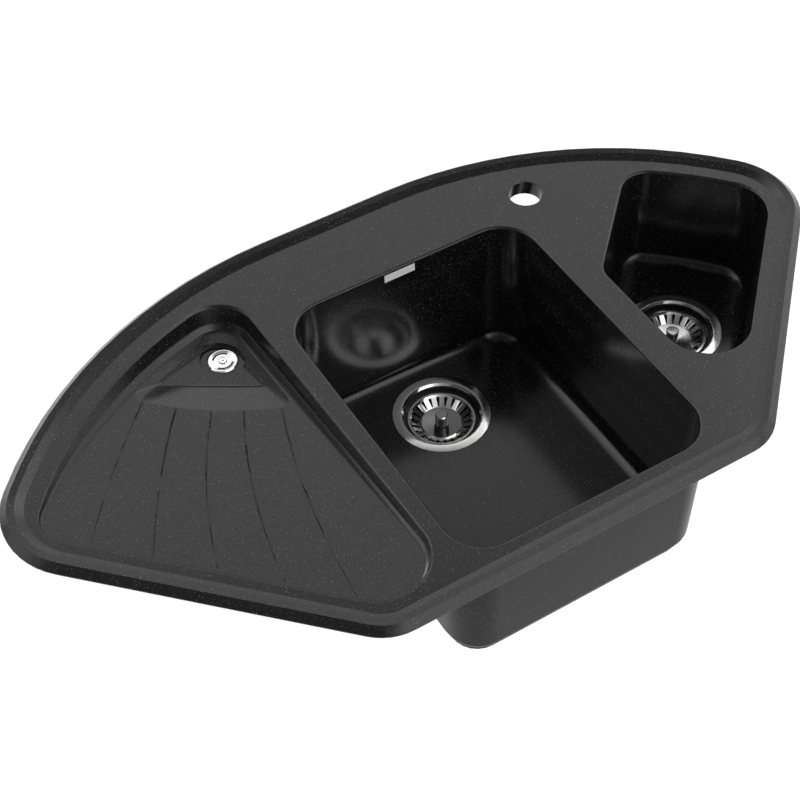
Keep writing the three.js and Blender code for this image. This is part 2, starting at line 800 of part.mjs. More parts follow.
/** Upright slot along +X, wider at its outer end, which is pointed. */
function slot(near, far, width, low, high) {
  const w = width / 2;
  const corners = [[near, -w * 0.35], [far, -w], [far + w * 0.4, 0], [far, w], [near, w * 0.35]];
  return loft([low, high].map((z) => corners.map(([x, y]) => [x, y, z])));
}

/** Pull knob: a short cylinder with a bevelled top, hollow for the stem. */
function strainerKnob() {
  const s = STRAINER;
  const foot = s.coneZ - 1 + s.basketSheet / 2 + TOUCH;
  const top = s.knobTop;
  const hole = s.stemR + TOUCH;
  const inside = top - 5;
  return revolve(
    [
      [hole, foot + 1],
      [s.knobR - 0.6, foot + 0.1],
      [s.knobR, foot + 1],
      [s.knobR, top - 1],
      [s.knobR - 1, top],
      [0, top],
      [0, inside],
      [hole, inside],
    ],
    [0, 0],
    ROUND,
  );
}

/** Stem with the plate that carries the seal. */
function strainerStem() {
  const s = STRAINER;
  const plate = sealTop() + TOUCH;
  return revolve(
    [
      [0, plate - 1.5],
      [s.stemR + 1.5, plate - 1.5],
      [s.stemR + 1.5, plate],
      [s.sealR - 2, plate],
      [s.sealR - 2, plate + 1.6],
      [s.stemR + 3, plate + 1.6],
      [s.stemR, plate + 4],
      [s.stemR, s.knobTop - 5 - TOUCH],
      [0, s.knobTop - 5 - TOUCH],
    ],
    [0, 0],
    ROUND,
  );
}

const sealTop = () => STRAINER.cupZ + STRAINER.sheet / 2 + TOUCH + 5.4;

/** Rubber ring that closes the ports. */
function strainerSeal() {
  const s = STRAINER;
  const low = s.cupZ + s.sheet / 2 + TOUCH;
  const bore = BODY.boltHead + 1.6;
  return revolve(
    [
      [bore, low],
      [s.sealR - 1.5, low],
      [s.sealR + 0.6, low + 2],
      [s.sealR, sealTop() - 1],
      [s.sealR - 1, sealTop()],
      [bore, sealTop()],
    ],
    [0, 0],
    ROUND,
  );
}

/** Gasket between the flange and its seat in the floor. */
function topGasket() {
  const s = STRAINER;
  const low = -s.seatDepth + TOUCH;
  return tube(s.flangeR - 0.8, s.mouthR + 2.6, low, low + GASKET / 2 - 0.5, [0, 0], ROUND);
}

const underside = () => -FLOOR_THICKNESS - PLINTH_HEIGHT;

/** Gasket between the bowl's underside and the drain body. */
function underGasket() {
  const high = underside() - TOUCH;
  return tube(BODY.shellR + BODY.lipWidth - 1, BODY.shellR, high - GASKET, high);
}

/** Drain body: lip, shell, cone and outlet, with a boss on three ribs for the bolt. */
function drainBody(inlet) {
  const b = BODY;
  const top = underside() - GASKET - 2 * TOUCH;
  const shellEnd = top - b.shellDepth;
  const coneEnd = shellEnd - b.cone;
  const end = coneEnd - b.outletLength;
  const collar = end + b.outletLength / 2;
  const lipR = b.shellR + b.lipWidth;
  const shell = revolve(
    [
      [b.outletR - b.wall, end],
      [b.outletR, end],
      [b.outletR, collar],
      [b.outletR + b.collar, collar + b.collar],
      [b.outletR, collar + 2 * b.collar],
      [b.outletR, coneEnd],
      [b.shellR - 4, shellEnd],
      [b.shellR, shellEnd + 5],
      [b.shellR, top - b.lip],
      [lipR, top - b.lip],
      [lipR, top],
      [b.shellR - b.wall, top],
      [b.shellR - b.wall, shellEnd + 6],
      [b.shellR - b.wall - 4, shellEnd + 1],
      [b.outletR - b.wall, coneEnd + 1],
    ],
    [0, 0],
    ROUND,
  );
  const ribLow = coneEnd + 4;
  const ribHigh = shellEnd + 3;
  const boss = rod(b.bossR, ribLow, ribHigh, [0, 0], PLAIN);
  const inside = b.shellR - b.wall;
  const rib = bar(0, inside + b.ribRoot, b.ribWidth, ribHigh - b.ribDepth, ribHigh);
  const ribs = [90, 210, 330].map((turn) => rib.rotate([0, 0, turn]));
  const body = join(shell, boss, ...ribs);
  const boltHole = rod(b.boltR + BODY_CLEARANCE, ribLow + 3, ribHigh + 1, [0, 0], PLAIN);
  if (!inlet) return cut(body, boltHole);
  const tail = inletTail(TAIL_R, inside - 1, b.shellR + SPIGOT);
  const bore = inletTail(TAIL_R - CUP.wall, inside - b.tailReach, b.shellR + SPIGOT + OVER);
  return cut(body.add(tail), bore, boltHole);
}

/** Flat bar along +X. */
function bar(near, far, width, low, high) {
  const w = width / 2;
  const corners = [[near, -w], [far, -w], [far, w], [near, w]];
  return loft([low, high].map((z) => corners.map(([x, y]) => [x, y, z])));
}

/** Level cylinder from radius `near` to `far`, along the main drain body's hose tail. */
function inletTail(r, near, far) {
  const upright = rod(r, near, far, [0, 0], PLAIN);
  return upright.rotate([0, 90, HOSE.inletAngle]).translate([0, 0, HOSE.inletZ - MAIN.floor]);
}

/** Bolt that draws the flange and the drain body together. */
function strainerBolt() {
  const b = BODY;
  const seat = STRAINER.cupZ + STRAINER.sheet / 2 + TOUCH;
  const ribLow = underside() - GASKET - 2 * TOUCH - b.shellDepth - b.cone + 4;
  const tip = ribLow + 5;
  return revolve(
    [
      [0, tip],
      [b.boltR - 0.8, tip],
      [b.boltR, tip + 1],
      [b.boltR, seat],
      [b.boltHead, seat],
      [b.boltHead, seat + 2],
      [b.boltHead - 1.5, seat + 3.4],
      [1.6, seat + 3.4],
      [1.6, seat + 1.6],
      [0, seat + 1.6],
    ],
    [0, 0],
    PLAIN,
  );
}

// ---------- overflow ----------

/** Rosette with two arc slots and a countersink for its screw. */
function overflowRosette() {
  const low = FUNNEL.seatZ - ROSETTE_SEAT + TOUCH;
  const high = low + 2.6;
  const disc = revolve(
    [
      [2.4, low],
      [ROSETTE_R, low],
      [ROSETTE_R, low + 1.2],
      [ROSETTE_R - 1.4, high],
      [ROSETTE_R - 3.4, high],
      [ROSETTE_R - 4.6, high - 0.8],
      [5.4, high - 0.8],
      [2.4, high - 2],
    ],
    OVERFLOW,
    ROUND,
  );
  const slots = [35, 215].map((from) => arcSlot(10.6, 13, from, from + 110, low - 1, high + 1));
  return cut(disc, ...slots);
}

function arcSlot(inner, outer, from, to, low, high) {
  const turn = (i) => (from + ((to - from) * i) / ARC_STEPS) * DEG;
  const steps = Array.from({ length: ARC_STEPS + 1 }, (_, i) => turn(i));
  const at = (r, t) => [OVERFLOW[0] + r * Math.cos(t), OVERFLOW[1] + r * Math.sin(t)];
  const corners = [...steps.map((t) => at(outer, t)), ...steps.reverse().map((t) => at(inner, t))];
  return loft([low, high].map((z) => corners.map(([x, y]) => [x, y, z])));
}

/** Countersunk screw of the rosette. */
function overflowScrew() {
  const seat = FUNNEL.seatZ - ROSETTE_SEAT + TOUCH + 2.6 - 0.8;
  return revolve(
    [
      [0, FUNNEL.seatZ - 22],
      [1.9, FUNNEL.seatZ - 22],
      [1.9, seat - 0.9],
      [4.6, seat + 0.2],
      [4.2, seat + 1],
      [1.1, seat + 1],
      [1.1, seat - 0.6],
      [0, seat - 0.6],
    ],
    OVERFLOW,
    PLAIN,
  );
}

const cupTop = () => FUNNEL.seatZ - BOARD_WALL - GASKET - 2 * TOUCH;

function overflowGasket() {
  const high = FUNNEL.seatZ - BOARD_WALL - TOUCH;
  return tube(CUP.lipR - 1, OVERFLOW_HOLE_R + 0.5, high - GASKET, high, OVERFLOW, ROUND);
}

/** Cup under the overflow hole, with a threaded bridge for the screw and the hose tail. */
function overflowCup() {
  const e = CUP;
  const top = cupTop();
  const end = top - e.drop;
  const cup = revolve(
    [
      [TAIL_R - e.wall, end],
      [TAIL_R, end],
      [TAIL_R, top - 12],
      [OVERFLOW_HOLE_R + 4, top - 7],
      [OVERFLOW_HOLE_R + 4, top - e.lip],
      [e.lipR, top - e.lip],
      [e.lipR, top],
      [OVERFLOW_HOLE_R + 1.6, top],
      [OVERFLOW_HOLE_R + 1.6, top - 8],
      [TAIL_R - e.wall, top - 12],
    ],
    OVERFLOW,
    ROUND,
  );
  const bridge = bar(-TAIL_R + 0.8, TAIL_R - 0.8, 5, top - 19, top - 12.5).translate([...OVERFLOW, 0]);
  const boss = rod(4.4, top - 19, top - 8, OVERFLOW, 16);
  return cut(join(cup, bridge, boss), rod(1.9 + TOUCH, top - 17, top, OVERFLOW, 12));
}

/** The hose's middle line, from the overflow cup to the inlet of the main drain body. */
function hoseLine() {
  const top = cupTop() - CUP.drop + TAIL_GRIP;
  const t = HOSE.inletAngle * DEG;
  const direction = new THREE.Vector3(Math.cos(t), Math.sin(t), 0);
  const reach = BODY.shellR + SPIGOT - TAIL_GRIP;
  const inlet = new THREE.Vector3(...MAIN.drain, HOSE.inletZ).addScaledVector(direction, reach);
  const start = new THREE.Vector3(...OVERFLOW, top);
  const down = start.clone().setZ(top - 2.2 * HOSE.r);
  const out = inlet.clone().addScaledVector(direction, 2.2 * HOSE.r);
  const bendStart = down.clone().setZ(HOSE.inletZ + 70);
  const bendEnd = out.clone().addScaledVector(direction, 26);
  const path = new THREE.CurvePath();
  path.add(new THREE.LineCurve3(start, down));
  path.add(new THREE.LineCurve3(down, bendStart));
  path.add(
    new THREE.CubicBezierCurve3(
      bendStart,
      bendStart.clone().setZ(HOSE.inletZ + 18),
      bendEnd.clone().addScaledVector(direction, 70),
      bendEnd,
    ),
  );
  path.add(new THREE.LineCurve3(bendEnd, inlet));
  return path;
}

/** Ribbed hose with its bore. */
function ribbedHose() {
  const path = hoseLine();
  const length = path.getLength();
  const ribs = Math.round(length / HOSE.pitch);
  const count = ribs * 2;
  const frames = frameAlong(path, count);
  const circle = (frame, r) =>
    Array.from({ length: HOSE_SIDES }, (_, k) => {
      const t = (2 * Math.PI * k) / HOSE_SIDES;
      const p = frame.at.clone();
      p.addScaledVector(frame.u, r * Math.cos(t)).addScaledVector(frame.v, r * Math.sin(t));
      return p.toArray();
    });
  const outer = frames.map((frame, i) => circle(frame, i % 2 ? HOSE.r - HOSE.groove : HOSE.r));
  const inner = frames.filter((_, i) => i % HOSE_BORE_STEP === 0 || i === count);
  inner[0] = { ...inner[0], at: inner[0].at.clone().addScaledVector(inner[0].along, -1) };
  const end = inner.at(-1);
  inner[inner.length - 1] = { ...end, at: end.at.clone().addScaledVector(end.along, 1) };
  console.log(`hose length ${length.toFixed(0)} mm, ${ribs} ribs`);
  return loft(outer).subtract(loft(inner.map((frame) => circle(frame, HOSE.bore))));
}

/** Evenly spaced frames that don't twist along a path. */
function frameAlong(path, count) {
  let u = null;
  return Array.from({ length: count + 1 }, (_, i) => {
    const at = path.getPointAt(i / count);
    const along = path.getTangentAt(i / count);
    if (!u) u = new THREE.Vector3(1, 0, 0);
    u = u.clone().addScaledVector(along, -u.dot(along)).normalize();
    return { at, along, u, v: along.clone().cross(u) };
  });
}

// ---------- the assembly ----------

const part = new THREE.Group();
part.name = 'corner_sink';
part.position.set(0, -SEAT_MIDDLE, 0);

const FINISH = {
  composite: { color: 0x2b2b2c, roughness: 0.38, metalness: 0 },
  steel: { color: 0xc6c8ca, roughness: 0.22, metalness: 1 },
  rubber: { color: 0x161616, roughness: 0.8, metalness: 0 },
  plastic: { color: 0xe8e8e6, roughness: 0.45, metalness: 0 },
  hose: { color: 0xd9d9d6, roughness: 0.5, metalness: 0 },
};

function add(group, name, manifold, finish) {
  const material = new THREE.MeshStandardMaterial(FINISH[finish]);
  material.name = name;
  const mesh = new THREE.Mesh(shape(manifold), material);
  mesh.name = name;
  group.add(mesh);
  return mesh;
}

/** Blank badge, standing on the back wall of the main bowl. */
function badge() {
  const lean = (MAIN.draft / (DECK_Z - MAIN.floor)) * 1.05;
  const top = DECK_Z - BADGE.below;
  const wallAt = (z) => MAIN.back - EDGE_ROUND - (DECK_Z - z) * lean - TOUCH;
  const section = (z) => {
    const y = wallAt(z);
    return [
      [BADGE.x - BADGE.width / 2, y - BADGE.thickness, z],
      [BADGE.x + BADGE.width / 2, y - BADGE.thickness, z],
      [BADGE.x + BADGE.width / 2, y, z],
      [BADGE.x - BADGE.width / 2, y, z],
    ];
  };
  return loft([section(top - BADGE.height), section(top)]);
}

function addStrainer(prefix, { floor, drain }, inlet) {
  const group = new THREE.Group();
  group.position.set(...drain, floor);
  part.add(group);
  add(group, `${prefix}_flange`, strainerFlange(), 'steel');
  add(group, `${prefix}_top_gasket`, topGasket(), 'rubber');
  add(group, `${prefix}_under_gasket`, underGasket(), 'rubber');
  add(group, `${prefix}_drain_body`, drainBody(inlet), 'plastic');
  add(group, `${prefix}_bolt`, strainerBolt(), 'steel');
  add(group, `${prefix}_basket`, strainerBasket(), 'steel');
  add(group, `${prefix}_knob`, strainerKnob(), 'steel');
  add(group, `${prefix}_stem`, strainerStem(), 'steel');
  add(group, `${prefix}_seal`, strainerSeal(), 'rubber');
}

add(part, 'sink_body', sinkBody(), 'composite');
add(part, 'blank_badge', badge(), 'steel');
addStrainer('main', MAIN, true);
addStrainer('small', SMALL, false);
add(part, 'overflow_rosette', overflowRosette(), 'steel');
add(part, 'overflow_screw', overflowScrew(), 'steel');
add(part, 'overflow_gasket', overflowGasket(), 'rubber');
add(part, 'overflow_cup', overflowCup(), 'plastic');
add(part, 'overflow_hose', ribbedHose(), 'hose');

export default part;
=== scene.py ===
"""Looks for a corner kitchen sink: near-black composite, polished strainers, plain drain fittings."""

import math

import bpy
from mathutils import Matrix, Vector


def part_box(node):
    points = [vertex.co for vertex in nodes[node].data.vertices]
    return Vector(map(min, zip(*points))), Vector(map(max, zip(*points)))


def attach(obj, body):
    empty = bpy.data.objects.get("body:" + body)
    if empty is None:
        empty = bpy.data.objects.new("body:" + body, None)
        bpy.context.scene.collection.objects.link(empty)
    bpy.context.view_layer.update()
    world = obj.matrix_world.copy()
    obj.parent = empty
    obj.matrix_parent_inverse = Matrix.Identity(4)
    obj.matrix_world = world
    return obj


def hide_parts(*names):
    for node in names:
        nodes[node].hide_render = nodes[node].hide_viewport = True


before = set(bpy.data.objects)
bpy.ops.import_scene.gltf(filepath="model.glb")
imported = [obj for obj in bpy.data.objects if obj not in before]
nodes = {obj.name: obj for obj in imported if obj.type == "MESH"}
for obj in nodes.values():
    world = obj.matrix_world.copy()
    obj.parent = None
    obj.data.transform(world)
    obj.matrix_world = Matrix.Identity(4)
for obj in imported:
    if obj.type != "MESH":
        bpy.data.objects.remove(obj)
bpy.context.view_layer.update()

# The camera, in metres and degrees, in the part's own frame.
CAMERA = {
    "place": (-0.67566, -0.78709, 1.40010),
    "azimuth": -30.019,
    "elevation": 48.815,
    "roll": -1.588,
    "lens": 74.67,
    "shift": (0.0023, -0.01636),
}

# The floor, a worktop's height under the sink, and the light that it gives off to look white.
FLOOR_MIDDLE = (0, 0.275, -0.9)
FLOOR_SIZE = 60.0
FLOOR_LIFT = 0.17

# The studio's tent. Each band gives two heights of the sky, 0 level and 1 overhead, and the light
# at each of them.
ROOF = (0.76, 0.93, 1.35, 0.25)
SKIRT = (0.04, 0.24, 0.3, 1.0)
HORIZON = (0.0, 0.05, 1.0, 0.3)

# The side where the camera stands: its direction, the cosines off it between which the light
# changes, and the share of the light that is left at each.
DIM_SIDE = Vector((-0.62, -0.45, 0.64)).normalized()
DIM = (0.72, 0.97, 1.0, 0.2)

# Brighter screens: the direction of each, the cosines off it where it starts and where it is
# full, and how much light it adds.
SCREENS = (
    (Vector((-0.34, 0.57, 0.74)).normalized(), 0.91, 0.97, 0.9),
    (Vector((0.67, 0.28, 0.69)).normalized(), 0.965, 0.992, 1.3),
    (Vector((-0.2, 0.98, 0.0)).normalized(), 0.95, 0.99, 3.0),
    (Vector((0.33, -0.68, 0.66)).normalized(), 0.86, 0.96, 0.9),
    (Vector((0.97, -0.07, 0.24)).normalized(), 0.86, 0.97, 0.4),
)

# Where level edges stay crisp: on the rim, from this height up, and on the drainboard, left of
# a side and above a height. An edge is level when it climbs less than this share of its length.
RIM_FROM = 0.0029
BOARD_SIDE = -0.138
BOARD_FROM = -0.045
LEVEL_SLOPE = 0.12

# How heavily large faces count in the shading.
FACE_WEIGHT = 80

# The grains in the composite: size of a place for one, share of the places that hold one, radius
# as a share of the place, and grey.
GRAINS = (
    (0.0008, 0.34, 0.40, 0.022),
    (0.0012, 0.22, 0.36, 0.085),
    (0.0021, 0.10, 0.20, 0.26),
)

# The composite's skin: roughness and gloss inside the bowls and on top, and on the walls outside.
SKIN_ROUGHNESS = (0.15, 0.19)
SKIN_GLOSS = 0.42
OUTER_ROUGHNESS = 0.30
OUTER_GLOSS = 0.14
OUTER_TOP = (-0.010, -0.006)

# The steel: its grey, its roughness, the pitch of its turning marks, how far below their tops
# the knob, the flange and the rosette are painted dark as painted shade and a painted dark reflection,
# and half the height over which that painted shade fades in.
STEEL = 0.78
CHROME = 0.8
STEEL_ROUGHNESS = 0.07
TURNING_PITCH = 0.0009
KNOB_SHADE_DEPTH = 0.0012
FLANGE_SHADE_DEPTH = 0.0032
ROSETTE_SHADE_DEPTH = 0.0011
PAINTED_SHADE_BLEND = 0.0002

# The overflow hose's route: from the cup under the overflow to the drain body, in metres.
HOSE_TOP = Vector((-0.2016, 0.44, -0.064))
HOSE_LEVEL = -0.222
HOSE_FALL = 0.070
HOSE_REACH = 0.061
HOSE_TURN = math.radians(158)
HOSE_DRAIN = Vector((0.040, 0.345, HOSE_LEVEL))
HOSE_OUTER = 0.0135
HOSE_STRAIGHT = 2.2 * HOSE_OUTER
HOSE_END = HOSE_STRAIGHT + 0.026
HOSE_ROOT = 0.0112
HOSE_WALL = 0.0012
HOSE_DIP = 0.018
HOSE_BEND_STEPS = 80
HOSE_RIBS = 40
HOSE_RINGS = 8
HOSE_SIDES = 36


# ---------------------------------------------------------------- node tools


def new_material(name):
    """An empty node material with one Principled shader, and the tools to build on it."""
    made = bpy.data.materials.new(name)
    made.use_nodes = True
    return made, made.node_tree, made.node_tree.nodes["Principled BSDF"]


def add(tree, kind, inputs=(), **settings):
    """Adds a shader node. inputs maps a socket to a number, a colour or another node's output."""
    made = tree.nodes.new("ShaderNode" + kind)
    for name, value in settings.items():
        setattr(made, name, value)
    for socket, value in dict(inputs).items():
        if isinstance(value, bpy.types.NodeSocket):
            tree.links.new(value, made.inputs[socket])
        else:
            made.inputs[socket].default_value = value
    return made


def place(tree, scale=(1, 1, 1)):
    """Coordinates fixed to the object, in metres, times scale."""
    coords = add(tree, "TexCoord").outputs["Object"]
    return add(tree, "Mapping", {"Vector": coords, "Scale": scale}).outputs["Vector"]


def noise(tree, scale, detail=2.0, vector=None):
    """A noise between 0 and 1."""
    where = vector or place(tree)
    made = add(tree, "TexNoise", {"Vector": where, "Scale": scale, "Detail": detail})
    return made.outputs["Fac"]


def remap(tree, value, low, high, to_low, to_high):
    """Maps value from low..high to to_low..to_high, held inside that range."""
    inputs = {"Value": value, "From Min": low, "From Max": high, "To Min": to_low, "To Max": to_high}
    return add(tree, "MapRange", inputs).outputs["Result"]


def maths(tree, operation, first, second):
    """One arithmetic step on two values."""
    return add(tree, "Math", {0: first, 1: second}, operation=operation).outputs[0]


def mix(tree, share, first, second):
    """Blends two colours."""
    made = add(tree, "Mix", data_type="RGBA")
    for socket, value in ((0, share), (6, first), (7, second)):
        if isinstance(value, bpy.types.NodeSocket):
            tree.links.new(value, made.inputs[socket])
        else:
            made.inputs[socket].default_value = value
    return made.outputs[2]


def bump(tree, shader, height, distance, strength=1.0):
    """Raises the shader's surface by height times distance, in metres."""
    inputs = {"Height": height, "Distance": distance, "Strength": strength}
    made = add(tree, "Bump", inputs)
    tree.links.new(made.outputs["Normal"], shader.inputs["Normal"])


def grey(level, warm=0.0):
    """A grey, a little warmer for a positive second number."""
    return (level * (1 + warm), level, level * (1 - warm), 1.0)


# ----------------------------------------------------------------- materials


def flecks(tree, size, chance, radius):
    """1 inside round grains about size apart, where only a share of the places holds one."""
    cells = add(tree, "TexVoronoi", {"Vector": place(tree), "Scale": 1 / size})
    parts = add(tree, "SeparateColor", {"Color": cells.outputs["Color"]}).outputs
    chosen = maths(tree, "GREATER_THAN", parts["Red"], 1 - chance)
    reach = remap(tree, parts["Green"], 0, 1, radius * 0.5, radius)
    inside = maths(tree, "LESS_THAN", cells.outputs["Distance"], reach)
    return maths(tree, "MULTIPLY", chosen, inside)


def outside(tree):
    """1 on upright faces under the rim that look away from both bowls, and 0 elsewhere."""
    normal = add(tree, "NewGeometry").outputs["Normal"]
    level = add(tree, "VectorMath", {0: normal, 1: (1, 1, 0)}, operation="MULTIPLY").outputs["Vector"]
    coords = add(tree, "TexCoord").outputs["Object"]
    height = add(tree, "SeparateXYZ", {"Vector": coords}).outputs["Z"]
    share = remap(tree, height, *OUTER_TOP, 1, 0)
    for side in ("main", "small"):
        low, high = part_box(f"{side}_flange")
        middle = (low + high) / 2
        away = add(tree, "VectorMath", {0: coords, 1: middle}, operation="SUBTRACT").outputs["Vector"]
        facing = add(tree, "VectorMath", {0: away, 1: level}, operation="DOT_PRODUCT")
        share = maths(tree, "MULTIPLY", share, remap(tree, facing.outputs["Value"], -0.01, 0.03, 0, 1))
    return share


def composite():
    """Cast stone composite: black resin full of quartz grains, satin inside and dull outside."""
    made, tree, shader = new_material("dark_composite")
    cloud = remap(tree, noise(tree, 40, 3), 0.3, 0.7, 0.0, 1.0)
    colour = mix(tree, cloud, grey(0.0040), grey(0.0056))
    for size, chance, radius, level in GRAINS:
        colour = mix(tree, flecks(tree, size, chance, radius), colour, grey(level))
    tree.links.new(colour, shader.inputs["Base Color"])
    skin = remap(tree, noise(tree, 260, 4), 0.3, 0.7, *SKIN_ROUGHNESS)
    dull = outside(tree)
    roughness = remap(tree, dull, 0, 1, skin, OUTER_ROUGHNESS)
    gloss = remap(tree, dull, 0, 1, SKIN_GLOSS, OUTER_GLOSS)
    tree.links.new(roughness, shader.inputs["Roughness"])
    tree.links.new(gloss, shader.inputs["Specular IOR Level"])
    bump(tree, shader, noise(tree, 1300, 2), 0.00005, 0.12)
    return made


def steel(name, level, centre, shade_below=None):
    """Turned and polished stainless steel, with fine rings round an upright axis.

    Below the given height it is painted dark: painted shade in the gaps round a part and a painted
    dark reflection on its sides.
    """
    made, tree, shader = new_material(name)
    shader.inputs["Metallic"].default_value = 1.0
    shift = (-centre[0], -centre[1], 0)
    coords = add(tree, "TexCoord").outputs["Object"]
    moved = add(tree, "Mapping", {"Vector": coords, "Location": shift}).outputs["Vector"]
    fine = 1 / TURNING_PITCH / 20 * math.pi
    wave = {"Vector": moved, "Scale": fine, "Distortion": 2.0, "Detail": 2.0}
    rings = add(tree, "TexWave", wave, wave_type="RINGS", rings_direction="Z").outputs["Fac"]
    smear = noise(tree, 90, 3)
    tone = mix(tree, remap(tree, smear, 0.35, 0.65, 0, 1), grey(level * 0.93), grey(level, 0.006))
    if shade_below is not None:
        # Painted shade: below that height the steel is painted near-black and less metallic, standing
        # for shade in gaps and a dark reflection on the sides.
        height = add(tree, "SeparateXYZ", {"Vector": coords}).outputs["Z"]
        unshaded = remap(tree, height, shade_below - PAINTED_SHADE_BLEND, shade_below + PAINTED_SHADE_BLEND, 0, 1)
        tone = mix(tree, unshaded, grey(0.03), tone)
        tree.links.new(remap(tree, unshaded, 0, 1, 0.2, 1.0), shader.inputs["Metallic"])
    tree.links.new(tone, shader.inputs["Base Color"])
    turned = maths(tree, "MULTIPLY", rings, 0.05)
    worn = maths(tree, "ADD", turned, remap(tree, smear, 0.3, 0.7, 0, 0.06))
    tree.links.new(maths(tree, "ADD", worn, STEEL_ROUGHNESS), shader.inputs["Roughness"])
    bump(tree, shader, rings, 0.00002, 0.12)
    return made


def foil():
    """Brushed foil for the blank badge."""
    made, tree, shader = new_material("badge_foil")
    shader.inputs["Metallic"].default_value = 0.15
    brush = noise(tree, 1, 4, place(tree, (60, 2400, 2400)))
    tone = mix(tree, remap(tree, brush, 0.3, 0.7, 0, 1), grey(0.84), grey(0.93))
    tree.links.new(tone, shader.inputs["Base Color"])
    tree.links.new(remap(tree, brush, 0.3, 0.7, 0.28, 0.42), shader.inputs["Roughness"])
    bump(tree, shader, brush, 0.00003, 0.4)
    return made


def rubber():
    """Black sealing rubber with a faint bloom."""
    made, tree, shader = new_material("sealing_rubber")
    bloom = remap(tree, noise(tree, 220, 4), 0.35, 0.7, 0, 1)
    tree.links.new(mix(tree, bloom, grey(0.012), grey(0.03)), shader.inputs["Base Color"])
    tree.links.new(remap(tree, bloom, 0, 1, 0.5, 0.68), shader.inputs["Roughness"])
    bump(tree, shader, noise(tree, 1500, 2), 0.00008, 0.5)
    return made


def plastic(name, level, warm, rough):
    """Moulded plastic with a fine eroded skin."""
    made, tree, shader = new_material(name)
    flow = remap(tree, noise(tree, 25, 3), 0.3, 0.7, 0, 1)
    tone = mix(tree, flow, grey(level, warm), grey(level * 0.95, warm))
    tree.links.new(tone, shader.inputs["Base Color"])
    tree.links.new(remap(tree, flow, 0, 1, rough, rough + 0.08), shader.inputs["Roughness"])
    bump(tree, shader, noise(tree, 1400, 3), 0.00006, 0.5)
    return made


# -------------------------------------------------------------------- pieces


def smooth_by_angle():
    """A modifier's node group that shades smooth and keeps edges sharper than an angle.

    On the rim and the drainboard, edges that run level are kept from a smaller angle on.
    """
    group = bpy.data.node_groups.new("smooth_by_angle", "GeometryNodeTree")
    group.interface.new_socket("Geometry", in_out="INPUT", socket_type="NodeSocketGeometry")
    for name in ("Angle", "Level Angle"):
        group.interface.new_socket(name, in_out="INPUT", socket_type="NodeSocketFloat")
    group.interface.new_socket("Geometry", in_out="OUTPUT", socket_type="NodeSocketGeometry")
    start = group.nodes.new("NodeGroupInput")
    end = group.nodes.new("NodeGroupOutput")
    edge = group.nodes.new("GeometryNodeInputMeshEdgeAngle")
    keep = group.nodes.new("FunctionNodeCompare")
    keep.data_type = "FLOAT"
    keep.operation = "LESS_EQUAL"
    faces = group.nodes.new("GeometryNodeSetShadeSmooth")
    faces.domain = "FACE"
    edges = group.nodes.new("GeometryNodeSetShadeSmooth")
    edges.domain = "EDGE"
    link = group.links.new

    def node(kind, inputs, **settings):
        made = group.nodes.new(kind)
        for name, value in settings.items():
            setattr(made, name, value)
        for socket, value in inputs.items():
            if isinstance(value, bpy.types.NodeSocket):
                link(value, made.inputs[socket])
            else:
                made.inputs[socket].default_value = value
        return made.outputs

    def number(operation, first, second=0.0):
        return node("ShaderNodeMath", {0: first, 1: second}, operation=operation)[0]

    def vector(operation, *sides):
        return node("ShaderNodeVectorMath", dict(enumerate(sides)), operation=operation)

    ends = node("GeometryNodeInputMeshEdgeVertices", {})
    run = vector("SUBTRACT", ends["Position 2"], ends["Position 1"])[0]
    rise = number("ABSOLUTE", node("ShaderNodeSeparateXYZ", {0: run})["Z"])
    level = number("LESS_THAN", rise, number("MULTIPLY", vector("LENGTH", run)["Value"], LEVEL_SLOPE))
    here = node("ShaderNodeSeparateXYZ", {0: ends["Position 1"]})
    rim = number("GREATER_THAN", here["Z"], RIM_FROM)
    left = number("LESS_THAN", here["X"], BOARD_SIDE)
    high = number("GREATER_THAN", here["Z"], BOARD_FROM)
    region = number("MAXIMUM", rim, number("MULTIPLY", left, high))
    crisp = number("MULTIPLY", level, region)
    angle, level_angle = start.outputs["Angle"], start.outputs["Level Angle"]
    less = number("MULTIPLY", number("SUBTRACT", angle, level_angle), crisp)
    limit = number("SUBTRACT", angle, less)
    link(edge.outputs["Unsigned Angle"], keep.inputs[0])
    link(limit, keep.inputs[1])
    link(start.outputs["Geometry"], faces.inputs["Geometry"])
    link(faces.outputs["Geometry"], edges.inputs["Geometry"])
    link(keep.outputs["Result"], edges.inputs["Shade Smooth"])
    link(edges.outputs["Geometry"], end.inputs["Geometry"])
    return group


SMOOTHER = smooth_by_angle()


def soften(piece, angle=33, level_angle=None):
    """Joins a node's loose faces and shades it smooth, up to edges sharper than an angle."""
    weld = piece.modifiers.new("weld", "WELD")
    weld.merge_threshold = 1e-6
    shade = piece.modifiers.new("shade", "NODES")
    shade.node_group = SMOOTHER
    for name, value in (("Angle", angle), ("Level Angle", level_angle or angle)):
        socket = next(i for i in SMOOTHER.interface.items_tree if i.name == name)
        shade[socket.identifier] = math.radians(value)
    flats = piece.modifiers.new("flats", "WEIGHTED_NORMAL")
    flats.weight = FACE_WEIGHT
    flats.keep_sharp = True


def paint(names, look, **softening):
    """Gives nodes a material and smooth shading."""
    for name in names:
        piece = nodes[name]
        piece.data.materials.clear()
        piece.data.materials.append(look)
        soften(piece, **softening)


